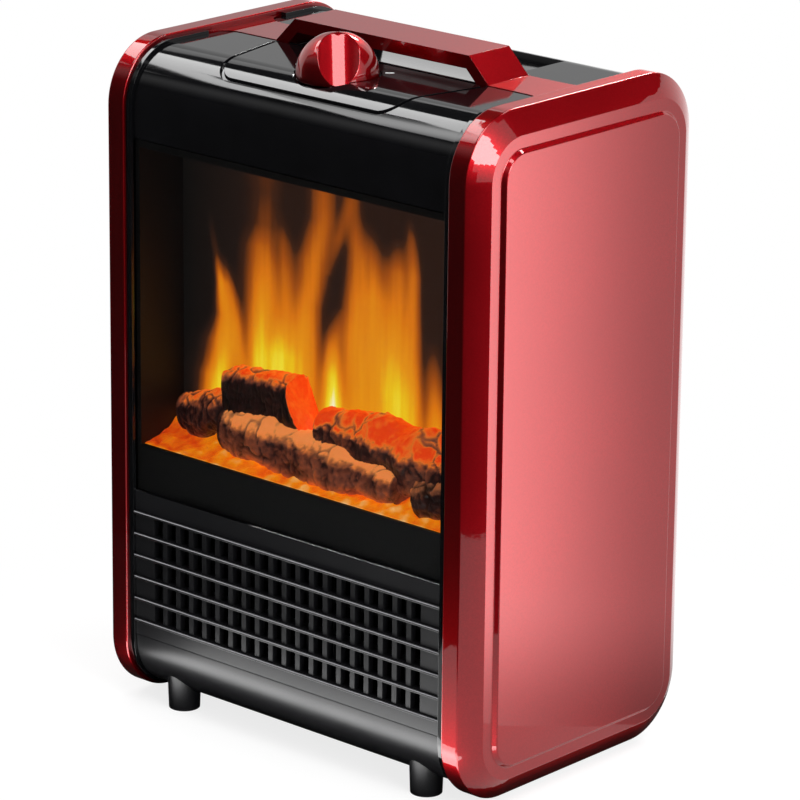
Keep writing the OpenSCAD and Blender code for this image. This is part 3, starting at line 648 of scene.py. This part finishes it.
class HEATER_OT_window(bpy.types.Operator):
    """Sets the window pane, the dark firebox and the flame screen"""

    bl_idname = "heater.window"
    bl_label = "Window and Flames"

    # Spines of the flames as (x, z, half width, heat), in millimetres on the screen
    TONGUES = (
        ((-66, 112, 9, 0.9), (-66, 148, 10, 0.84), (-64, 164, 9, 0.68), (-62, 176, 5, 0.56),
         (-62, 190, 3, 0.56), (-64, 202, 2.6, 0.22), (-68, 214, 3, 0.1), (-70, 224, 3, 0.02)),
        ((-52, 112, 8, 0.7), (-53, 152, 8, 0.58), (-56, 172, 7, 0.54), (-59, 190, 4.5, 0.44),
         (-61, 204, 3, 0.05)),
        ((-38, 112, 13, 0.9), (-38, 162, 12, 0.84), (-40, 196, 11, 0.55), (-41, 210, 10, 0.43),
         (-39, 220, 10, 0.27), (-37, 234, 13, 0.22), (-36, 256, 17, 0.24)),
        ((-27, 112, 10, 0.85), (-27, 165, 9, 0.8), (-27, 182, 7, 0.5), (-28, 202, 7, 0.4), (-28, 214, 7, 0.3),
         (-29, 228, 7, 0.1)),
        ((-17, 112, 13, 0.9), (-17, 165, 12, 0.72), (-16, 190, 10, 0.54), (-12, 210, 10, 0.48),
         (-5, 228, 9.5, 0.4), (-3, 246, 10, 0.33), (-2, 258, 11, 0.27)),
        ((-4, 205, 5, 0.15), (4, 222, 6, 0.32), (12, 238, 7, 0.26), (17, 254, 8, 0.16)),
        ((1, 112, 10, 1.0), (1, 146, 8, 1.0), (1, 162, 7, 0.84), (2, 176, 7, 0.5), (5, 192, 7, 0.15)),
        ((13, 112, 12, 0.75), (15, 160, 12, 0.62), (17, 198, 11, 0.52), (17, 218, 9, 0.42), (13, 240, 8, 0.26),
         (11, 254, 7, 0.12)),
        ((26, 112, 10, 0.7), (26, 160, 10, 0.58), (26, 200, 9, 0.52), (25, 220, 7, 0.3), (24, 232, 6, 0.1)),
        ((37, 112, 12, 0.9), (36, 162, 11, 0.82), (36, 195, 9.5, 0.54), (36, 214, 8, 0.42), (37, 228, 6, 0.15)),
        ((45, 130, 8, 0.72), (45, 190, 6.5, 0.5), (44, 214, 5, 0.44), (42, 230, 4, 0.28), (40, 242, 3, 0.05)),
        ((58, 112, 9, 0.9), (58, 146, 8, 0.74), (58, 166, 7, 0.45), (58, 188, 6, 0.15)),
        ((72, 112, 10, 0.9), (72, 150, 9, 0.64), (73, 172, 7, 0.32), (76, 190, 6, 0.08)),
    )
    SWAY = 5.0  # how far the flames lean to and fro, in millimetres
    SWAY_SCALE = (0.03, 0.022)  # noise scale across and up, per millimetre
    SWAY_SLICE = 4.1
    BLEND = 2.5  # how strongly the hotter of two flames shows where they cross
    HAZE, HAZE_FROM, HAZE_OVER = 0.11, -84, 40  # heat between the flames, and where in x it starts and is full
    PANE_GAP, PANE_EDGE = 0.2 * MM, 0.35 * MM

    def execute(self, context):
        dress(soot_black_moulding(), "firebox_liner")
        self.pane()
        self.flames()
        return {"FINISHED"}

    def pane(self):
        """The glass, clear of its seat at the back and with its edges rounded."""
        low, high = PANE_LOW, PANE_HIGH - Vector((0, self.PANE_GAP, 0))
        corners = [(x, y, z) for x in (low.x, high.x) for y in (low.y, high.y) for z in (low.z, high.z)]
        faces = [(0, 1, 3, 2), (4, 6, 7, 5), (0, 4, 5, 1), (2, 3, 7, 6), (0, 2, 6, 4), (1, 5, 7, 3)]
        pane = new_piece("pane", corners, faces, "case", window_glass(), "window_pane", "clear_glass")
        rounding = pane.modifiers.new("rounding", "BEVEL")
        rounding.width = self.PANE_EDGE
        rounding.segments = 2
        rounding.limit_method = "ANGLE"
        rounding.angle_limit = SHARP

    def flames(self):
        """The screen, with its flames' heat at each point."""
        columns, rows = 160, 128
        span = SCREEN_HIGH - SCREEN_LOW
        x = SCREEN_LOW.x + span.x * np.arange(columns + 1) / columns
        z = SCREEN_LOW.z + span.z * np.arange(rows + 1) / rows
        xx, zz = np.meshgrid(x / MM, z / MM)
        wide, tall = self.SWAY_SCALE
        sway = np.array([[noise.noise(Vector((a * wide, self.SWAY_SLICE, b * tall))) for a in xx[0]]
                         for b in zz[:, 0]])
        total = np.zeros_like(xx)
        for spine in self.TONGUES:
            sx, sz, width, heat = np.array(spine, float).T
            across = xx + self.SWAY * sway - np.interp(zz, sz, sx)
            strength = np.interp(zz, sz, heat, left=0.0, right=0.0)
            total += (strength * np.exp(-(across / np.interp(zz, sz, width)) ** 2)) ** self.BLEND
        haze = self.HAZE * np.clip((xx - self.HAZE_FROM) / self.HAZE_OVER, 0, 1)
        heat = np.maximum(total ** (1 / self.BLEND), haze)
        back = [(a, SCREEN_HIGH.y, b) for a in (x[0], x[-1]) for b in (z[0], z[-1])]
        solid = slab(columns, rows, lambda i, j: (x[i], SCREEN_LOW.y, z[j]), back)
        screen = new_piece("flame_sheet", *solid, "case", flame_film(), "flame_screen", "flame_film")
        paint(screen, "warmth", np.concatenate([heat.ravel(), np.zeros(len(back))]))


class HEATER_OT_log_bed(bpy.types.Operator):
    """Casts the log bed: glowing embers and five logs of burnt bark"""

    bl_idname = "heater.log_bed"
    bl_label = "Logs and Embers"

    # Logs: name, left end, right end, radius at the left, the middle and the right, squareness, slant of the
    # right cut, then the painted light and shade (the warmth) of the left cut, the right cut, the bark and its
    # lit top, how far up the lit top starts, and the painted pale highlight on it; in millimetres
    LOGS = (
        ("log_left", (-75, -47, 132), (-40, -47, 140), (8.5, 10, 10), 2.4, 0.0,
         0.2, 0.2, 0.24, 0.6, 0.3, 0.0),
        ("log_top", (-47, -48, 148), (-8, -47, 149.5), (9.8, 10.6, 10.2), 4.0, 0.45,
         0.02, 0.97, 0.08, 0.84, 0.5, 0.0),
        ("log_front", (-46, -51, 132), (53, -52, 127), (9.8, 11.2, 7), 2.4, 0.0,
         0.12, 0.3, 0.34, 0.46, 0.3, 0.55),
        ("log_right", (5, -48.5, 143.5), (85.3, -48, 138.5), (6.5, 13.5, 12.5), 2.4, 0.0,
         0.03, 0.4, 0.28, 0.74, 0.08, 0.0),
        ("log_short", (65, -53, 126.5), (85.3, -52, 131), (7.6, 8, 8), 2.4, 0.0,
         0.02, 0.2, 0.14, 0.3, 0.3, 0.3),
    )
    GRAIN = 5  # seed of the bark's noise vectors
    DEEPEST = 8.0 * MM  # a log's greatest half depth, front to back
    # Rings of a cut: share of the length, and of the radius
    CAP = ((0.0, 0.05), (0.0, 0.55), (0.0, 0.9), (0.006, 1.0))
    BEND_SCALE, WARP_SCALE, SPLIT_SCALE, LUMP_SCALE = 18, 160, 70, 60  # noise scales, per metre
    BEND = 1.2  # in millimetres
    ROUGHNESS, WRINKLE = 0.45 * MM, 0.4 * MM
    ROUGH_GRAIN = 2.2 * MM
    SLANT_FROM = 0.6  # share of the length at which a slanted log starts to lean
    CUT_RELIEF = 0.35  # relief of a sawn end against that of the bark
    EMBER_TOP = 119 * MM
    EMBER_LUMP, EMBER_GRAIN = 2.4 * MM, 0.8 * MM
    LIT_FROM, LIT_OVER = 121 * MM, 4 * MM  # the embers light the bark up to here, and fade over this

    def execute(self, context):
        noise.seed_set(self.GRAIN)
        bark = bark_resin()
        for number, log in enumerate(self.LOGS):
            self.log(number, bark, *log)
        self.embers()
        return {"FINISHED"}

    def log(self, number, bark, name, start, end, radii, square, slant, cut0, cut1, dull, bright, lit_from, ash):
        """One log: a tapered tube of swollen, wrinkled bark with a rough cut at each end."""
        f = settings("fire")
        rows, around = 120, 96
        start, end = Vector(start) * MM, Vector(end) * MM
        axis = end - start
        ahead = axis.normalized()
        side = ahead.cross(Vector((0, 0, 1))).normalized()
        up = side.cross(ahead)
        shift = Vector((17.3 * number, 5.1 * number, 9.7 * number))
        rim = self.CAP[-1][0]
        # Rings along the log: share of the length, share of the radius, and the warmth of a cut
        stations = [(t, k, cut0) for t, k in self.CAP]
        stations += [(rim + (1 - 2 * rim) * i / rows, 1.0, None) for i in range(1, rows)]
        stations += [(1 - t, k, cut1) for t, k in reversed(self.CAP)]
        loops, warmth, painted_top_highlights = [], [], []
        for t, shrink, cut in stations:
            centre = start + t * axis
            centre += noise.noise_vector(centre * self.BEND_SCALE + shift) * self.BEND * MM
            r0, mid, r1 = radii
            radius = (r0 * (1 - t) * (1 - 2 * t) + mid * 4 * t * (1 - t) + r1 * t * (2 * t - 1)) * MM * shrink
            narrow = min(radius, self.DEEPEST) / radius
            lean = slant * max(t - self.SLANT_FROM, 0.0) / (1 - self.SLANT_FROM)
            loop = []
            for i in range(around):
                turn = 2 * math.pi * i / around
                high = math.sin(turn)
                full = (abs(math.cos(turn)) ** square + abs(high) ** square) ** (-1 / square)
                out = full * (narrow * math.cos(turn) * side + high * up)
                place = centre + radius * out
                # Plates of bark, longer round the log than along it, with warped and partly split seams
                spot = Vector((place.dot(ahead), place.dot(side) * 0.7, place.dot(up) * 0.7)) / f.bark_cell
                spot += shift + 0.35 * noise.noise_vector(place * self.WARP_SCALE + shift)
                near, far = noise.voronoi(spot)[0][:2]
                split = min(max(0.6 + 1.4 * noise.noise(place * self.SPLIT_SCALE + 2.3 * shift), 0.0), 1.0)
                plate = 1.0 - split * (1.0 - min((far - near) / 0.14, 1.0))
                swell = max(1.0 - 1.7 * near * near, 0.0)
                rough = noise.fractal(place / self.ROUGH_GRAIN + shift, 1.0, 2.0, 4)
                lump = noise.noise(place * self.LUMP_SCALE + shift)
                fold = noise.noise(Vector((spot.x * 2.3, spot.y, spot.z)) + 3.1 * shift)
                wrinkle = max(1.0 - abs(fold) / 0.11, 0.0)
                depth = 0.36 * radius * lump + self.ROUGHNESS * rough
                depth += f.crack * (0.6 * (swell - 0.6) - 0.5 * (1 - plate))
                depth -= self.WRINKLE * wrinkle
                # Painted light: the bark is lit on its upper side and glows near the embers, each cut has its
                # own painted light, and the bark is darker in its cracks and wrinkles
                lit = 0.0
                if cut is None:
                    lit = min(max((high + 0.25 * lump + 0.12 * rough - lit_from) / 0.4, 0.0), 1.0)
                    warm = dull + bright * lit + 0.1 * rough + 0.14 * (swell - 0.6) - 0.13 * wrinkle
                    warm *= 0.3 + 0.7 * plate
                    warm += 0.2 * math.exp(-max(place.z - self.LIT_FROM, 0.0) / self.LIT_OVER)
                else:
                    depth *= self.CUT_RELIEF
                    warm = cut + 0.1 * rough
                loop.append(centre + (radius + depth) * out - lean * radius * high * ahead)
                warmth.append(min(max(warm, 0.0), 1.0))
                painted_top_highlights.append(ash * lit)
            loops.append(loop)
        piece = new_piece(name, *loft(loops), "case", bark, "log_bed", "ember_resin")
        paint(piece, "warmth", warmth)
        paint(piece, "ash", painted_top_highlights)
        shade(piece, 80, weighted=False)

    def embers(self):
        """The bed of embers, level along the front and rising gently to the back."""
        f = settings("fire")
        columns, rows = 220, 36
        low, high = BED_LOW, BED_HIGH
        warmth = []

        def top(i, j):
            across, inward = i / columns, j / rows
            x, y = low.x + (high.x - low.x) * across, low.y + (high.y - low.y) * inward
            spot = Vector((x, y, 0)) / f.ember
            lump = 0.5 - noise.voronoi(spot)[0][0]
            rough = self.EMBER_LUMP * lump + self.EMBER_GRAIN * noise.noise(spot * 2.3)
            level = self.EMBER_TOP + min(1.0, j / 3) * rough
            level += (7 * inward + 4 * max(inward - 0.5, 0.0)) * MM
            # Painted highlight: a brighter line along the front edge; the glow is also darker towards the left
            # end and lighter on the raised lumps
            warmth.append(0.36 + 0.22 * min(3.5 * across, 1.0) + 0.55 * lump + (0.2 if j == 0 else 0.0))
            return (x, y, level)

        back = [(a, b, low.z) for a in (low.x, high.x) for b in (low.y, high.y)]
        solid = slab(columns, rows, top, back)
        piece = new_piece("ember_bed", *solid, "case", ember_resin(), "log_bed", "ember_resin")
        paint(piece, "warmth", warmth + [0.2] * len(back))
        shade(piece, 60, weighted=False)


class HEATER_OT_lower_case(bpy.types.Operator):
    """Finishes the grille, the base pan, the feet and the rear cover"""

    bl_idname = "heater.lower_case"
    bl_label = "Grille, Base and Rear"

    # Edge rounding, its segments, and the rounding of the painted-highlight edges at the very front, in
    # millimetres
    ROUNDED = (("front_grille", 0.4, 2, 0.42), ("base_pan", 0.35, 3, 0.0), ("feet", 2.0, 5, 0.0),
               ("rear_cover", 0.3, 3, 0.0))

    def execute(self, context):
        black = satin_black_abs()
        for node, width, segments, lip in self.ROUNDED:
            soft_copy(node, black, "black_satin", width * MM, segments, lip * MM)
        dress(black, "cord_gland")
        return {"FINISHED"}


class HEATER_OT_works(bpy.types.Operator):
    """Finishes the works inside the case: switch, lamps, flame rotor, heating element and fan"""

    bl_idname = "heater.works"
    bl_label = "Inner Works"

    # Finishes: name, then dark and light tone, grain in millimetres, roughness, metallic and stretch of the
    # grain, then the nodes that have it
    FINISHES = (
        # Zinc, electroplated on steel: bright grey with faint clouds
        ("zinc_plated_steel", ("#8E9094", "#C6C8CC", 1.5, 0.3, 1.0),
         ("panel_screws", "handle_screws", "rear_screws", "switch_shaft", "fan_motor", "rotor_motor")),
        # Steel sheet, hot-dip galvanised: dull grey with wide flakes
        ("galvanised_sheet", ("#8B8F92", "#B5B8BA", 8.0, 0.45, 1.0),
         ("mid_shelf", "left_rotor_bracket", "right_rotor_bracket")),
        # Aluminium, rolled: pale, with the rolling lines along x
        ("rolled_aluminium", ("#B9BCC0", "#DADCDF", 0.6, 0.3, 1.0, (0.05, 1.0, 1.0)), ("flame_rotor",)),
        # Aluminium fins, blackened: dark, with little shine
        ("blackened_aluminium", ("#0C0C0D", "#161617", 0.6, 0.5, 1.0), ("heater_core",)),
        # Glass-fibre board under solder resist: even green with a soft shine
        ("solder_resist_board", ("#0E3A1C", "#15502A", 3.0, 0.4), ("lamp_board",)),
        # Epoxy, cast: warm and glossy
        ("lamp_epoxy", ("#E8B860", "#FFDDA0", 2.0, 0.15), ("lamp_leds",)),
        # Nylon, moulded: pale and half matt
        ("cream_nylon", ("#CFCBBE", "#E2DED2", 1.2, 0.5), ("terminal_block",)),
        # Nylon, moulded: orange and half matt
        ("orange_nylon", ("#B8480C", "#D65A12", 1.2, 0.45), ("tip_plunger",)),
    )

    def execute(self, context):
        for name, stock, nodes in self.FINISHES:
            dress(plain_stock(name, *stock), *nodes)
        dress(bpy.data.materials["satin_black_abs"], "rotary_switch", "thermal_cutout", "fan_shroud",
              "fan_impeller", "tip_switch")
        dress(bpy.data.materials["soot_black_moulding"], "heater_frame")
        return {"FINISHED"}


class HEATER_OT_stage(bpy.types.Operator):
    """Sets the floor, the light and the camera"""

    bl_idname = "heater.stage"
    bl_label = "Stage"

    # Soft boxes: the setting that holds the power, then place and size in metres
    SOFTBOXES = (
        ("key", (-0.565, -0.085, 0.92), (0.5, 0.24)),
        ("top", (0.3, -0.28, 1.1), (0.58, 0.5)),
        ("side", (2.35, -0.45, 1.2), (1.3, 1.1)),
        ("back", (-0.6, 1.3, 1.0), (0.35, 0.35)),
        ("rear", (0.4, 0.62, 1.0), (0.3, 0.3)),
    )
    AIM = Vector((0, 0, 0.17))
    # Cards: name, place, facing and size in metres, then a glow and its foot where they have one
    CARDS = (
        # In front: dark for the window and the grille, grey for the fascia, and a bright patch for its curve
        ("front_flag", (0.02, -0.222, 0.18), (0, 1, 0), (1.2, 0.36)),
        ("brow_card", (0.02, -0.222, 0.455), (0, 1, 0), (1.2, 0.19), (0.4, 0.02, "Y", 0.0, 0.095)),
        ("brow_patch", (-0.315, -0.222, 0.7), (0.64, 0.24, -0.73), (0.27, 0.12), (5.0, 0.2, "X", 0.0, 0.135)),
        # Round the heater: dark on the floor at the left, low at the right, overhead and high at the back
        ("floor_flag", (-0.165, -0.184, 0.0009), (0, 0, 1), (0.26, 0.112)),
        ("left_flag", (-0.345, -0.071, 0.0012), (0, 0, 1), (0.47, 0.302)),
        ("right_flag", (0.44, -0.16, 0.1), (-0.92, 0.26, 0), (0.5, 0.24)),
        ("ceiling", (0, 0, 1.3), (0, 0, -1), (2.4, 2.4)),
        ("rear_flag", (0.4, 0.6, 0.76), (-0.4, -0.7, -0.5), (0.62, 0.42)),
        # Reflectors: grey behind for the top, bright at the right panel, bright on the floor for the base
        ("rear_wall", (-0.64, 0.71, 0.55), (0.67, -0.74, 0), (0.9, 0.5), (0.55, 0.55, "X", 0.0, 1.0)),
        ("side_wall", (0.146, 0.043, 0.15), (-0.667, -0.745, 0), (0.24, 0.3), (4.5, 1.15, "X", 0.075, 0.115),
         (0.43, 0.06)),
        ("low_bounce", (0.021, -0.106, 0.0006), (0, 0, 1), (0.258, 0.044), (9.0, 6.0, "Y", 0.0, 0.022)),
        # Painted shadow: dark under the heater, where its shadow falls, seen only in gloss
        ("under_flag", (-0.047, 0.01, 0.0003), (0, 0, 1), (0.306, 0.19)),
    )
    WHITE = (1.0, 1.0, 1.0)
    FLOOR_REACH = 6.0
    FADE_FROM, FADE_TO = 0.1, 0.26  # the floor turns white between these distances from the middle
    SENSOR = 36.0  # width of the camera's sensor in millimetres

    def execute(self, context):
        s = settings("stage")
        self.world(s)
        self.floor()
        for name, place, size in self.SOFTBOXES:
            self.softbox(name + "_softbox", Vector(place), size, getattr(s, name))
        for card in self.CARDS:
            self.card(*card)
        self.camera(s)
        context.scene.view_settings.view_transform = "Standard"
        return {"FINISHED"}

    def seen(self, add):
        """1 for a ray that comes from the camera, off gloss or through glass, and 0 for the rest."""
        path = add("ShaderNodeLightPath").outputs
        seen = path["Is Camera Ray"]
        for ray in ("Is Glossy Ray", "Is Transmission Ray"):
            seen = add("ShaderNodeMath", {0: seen, 1: path[ray]}, operation="MAXIMUM")
        return seen

    def world(self, s):
        """White where it is seen, directly or in gloss and glass; an even light elsewhere."""
        world = bpy.data.worlds.new("studio")
        bpy.context.scene.world = world
        world.use_nodes = True
        world.node_tree.nodes.clear()
        add = partial(add_node, world.node_tree)
        strength = add("ShaderNodeMapRange", {"Value": self.seen(add), "To Min": s.fill, "To Max": 1.0})
        light = add("ShaderNodeBackground", {"Color": self.WHITE, "Strength": strength})
        add("ShaderNodeOutputWorld", {"Surface": light})

    def sheet(self, name, size):
        """Flat rectangle that faces up."""
        w, h = size[0] / 2, size[1] / 2
        mesh = bpy.data.meshes.new(name)
        mesh.from_pydata([(-w, -h, 0), (w, -h, 0), (w, h, 0), (-w, h, 0)], [], [(0, 1, 2, 3)])
        sheet = bpy.data.objects.new(name, mesh)
        bpy.context.scene.collection.objects.link(sheet)
        return sheet

    def floor(self):
        """Pale floor that keeps the shadow and fades to white a little way off."""
        floor = self.sheet("floor", (2 * self.FLOOR_REACH, 2 * self.FLOOR_REACH))
        # Paper, matt: an even white
        material, add = bare_material("pale_studio_paper")
        place = add("ShaderNodeTexCoord").outputs["Object"]
        away = add("ShaderNodeVectorMath", {0: place}, operation="LENGTH").outputs["Value"]
        fade = add("ShaderNodeMapRange", {"Value": away, "From Min": self.FADE_FROM, "From Max": self.FADE_TO,
                                          "To Min": 0.8}, interpolation_type="SMOOTHSTEP")
        white = add("ShaderNodeMath", {0: fade, 1: self.seen(add)}, operation="MULTIPLY")
        paper = add("ShaderNodeBsdfDiffuse", {"Color": linear("#F4F4F4")})
        glow = add("ShaderNodeEmission", {"Color": self.WHITE, "Strength": 1.0})
        mix = add("ShaderNodeMixShader", {0: white, 1: paper, 2: glow})
        add("ShaderNodeOutputMaterial", {"Surface": mix})
        floor.data.materials.append(material)

    def softbox(self, name, place, size, watts):
        """Soft area lamp that looks at the heater."""
        lamp = bpy.data.lights.new(name, "AREA")
        lamp.shape = "RECTANGLE"
        lamp.size, lamp.size_y = size
        lamp.energy = watts
        holder = bpy.data.objects.new(name, lamp)
        holder.location = place
        holder.rotation_euler = (self.AIM - place).to_track_quat("-Z", "Y").to_euler()
        bpy.context.scene.collection.objects.link(holder)

    def card(self, name, place, facing, size, glow=None, foot=None):
        """Card that only shows in gloss, as a photographer's flag or reflector does.

        It is dark felt, or silk that glows from a middle to an edge strength, with a soft change along an axis.
        A foot gives the share of the glow left at the lower edge, and the height over which it comes back.
        """
        card = self.sheet(name, size)
        card.location = place
        card.rotation_euler = Vector(facing).to_track_quat("Z", "Y").to_euler()
        if glow:
            material = self.silk(name + "_silk", -size[1] / 2, *glow, foot)
        else:
            # Wool felt: takes nearly all light away
            material = plain_stock(name + "_felt", "#030303", "#080808", 4.0, 1.0)
        card.data.materials.append(material)
        card.visible_camera = card.visible_diffuse = card.visible_shadow = False

    def silk(self, name, bottom, middle, edge, axis, at, reach, foot):
        """Silk, woven and lit from behind: an even white that fades along an axis."""
        material, add = bare_material(name)
        along = add("ShaderNodeSeparateXYZ", {0: add("ShaderNodeTexCoord").outputs["Object"]}).outputs
        off = add("ShaderNodeMath", {0: along[axis], 1: at}, operation="SUBTRACT")
        off = add("ShaderNodeMath", {0: off}, operation="ABSOLUTE")
        strength = add("ShaderNodeMapRange", {"Value": off, "From Max": reach, "To Min": middle, "To Max": edge},
                       interpolation_type="SMOOTHSTEP")
        if foot:
            share, height = foot
            rise = add("ShaderNodeMapRange", {"Value": along["Y"], "From Min": bottom,
                                              "From Max": bottom + height, "To Min": share},
                       interpolation_type="SMOOTHSTEP")
            strength = add("ShaderNodeMath", {0: strength, 1: rise}, operation="MULTIPLY")
        light = add("ShaderNodeEmission", {"Strength": strength})
        add("ShaderNodeOutputMaterial", {"Surface": light})
        return material

    def camera(self, s):
        """Camera at the photograph's angle."""
        ahead = Vector((-math.sin(s.yaw) * math.cos(s.pitch), math.cos(s.yaw) * math.cos(s.pitch),
                        -math.sin(s.pitch)))
        right = ahead.cross(Vector((0, 0, 1))).normalized()
        up = right.cross(ahead)
        right, up = (math.cos(s.roll) * right + math.sin(s.roll) * up,
                     math.cos(s.roll) * up - math.sin(s.roll) * right)
        lens = bpy.data.cameras.new("camera")
        lens.lens = s.lens
        lens.sensor_width = self.SENSOR
        camera = bpy.data.objects.new("camera", lens)
        turn = Matrix((right, up, -ahead)).transposed().to_4x4()
        camera.matrix_world = Matrix.Translation(Vector(s.camera_place)) @ turn
        bpy.context.scene.collection.objects.link(camera)
        bpy.context.scene.camera = camera


OPERATORS = (
    HEATER_OT_side_panels, HEATER_OT_top, HEATER_OT_knob, HEATER_OT_handle, HEATER_OT_window,
    HEATER_OT_log_bed, HEATER_OT_lower_case, HEATER_OT_works, HEATER_OT_stage,
)
GROUPS = (
    ("panel", HeaterPanelSizes), ("top", HeaterTopSizes), ("fire", HeaterFireSizes),
    ("colours", HeaterColours), ("stage", HeaterStage),
)


class HEATER_PT_sidebar(bpy.types.Panel):
    """Lists the heater's pieces and their sizes."""

    bl_label = "Fan Heater"
    bl_idname = "HEATER_PT_sidebar"
    bl_space_type = "VIEW_3D"
    bl_region_type = "UI"
    bl_category = "Heater"

    def draw(self, context):
        for operator in OPERATORS:
            self.layout.operator(operator.bl_idname)
        for group, kind in GROUPS:
            box = self.layout.box()
            for name in kind.__annotations__:
                box.prop(settings(group), name)


def register():
    for group, kind in GROUPS:
        bpy.utils.register_class(kind)
        setattr(bpy.types.Scene, "heater_" + group, PointerProperty(type=kind))
    for operator in OPERATORS:
        bpy.utils.register_class(operator)
    bpy.utils.register_class(HEATER_PT_sidebar)


def unregister():
    bpy.utils.unregister_class(HEATER_PT_sidebar)
    for operator in reversed(OPERATORS):
        bpy.utils.unregister_class(operator)
    for group, kind in reversed(GROUPS):
        delattr(bpy.types.Scene, "heater_" + group)
        bpy.utils.unregister_class(kind)


def main():
    register()
    bpy.ops.heater.side_panels()
    bpy.ops.heater.top()
    bpy.ops.heater.knob()
    bpy.ops.heater.handle()
    bpy.ops.heater.window()
    bpy.ops.heater.log_bed()
    bpy.ops.heater.lower_case()
    bpy.ops.heater.works()
    bpy.ops.heater.stage()


if __name__ == "__main__":
    main()
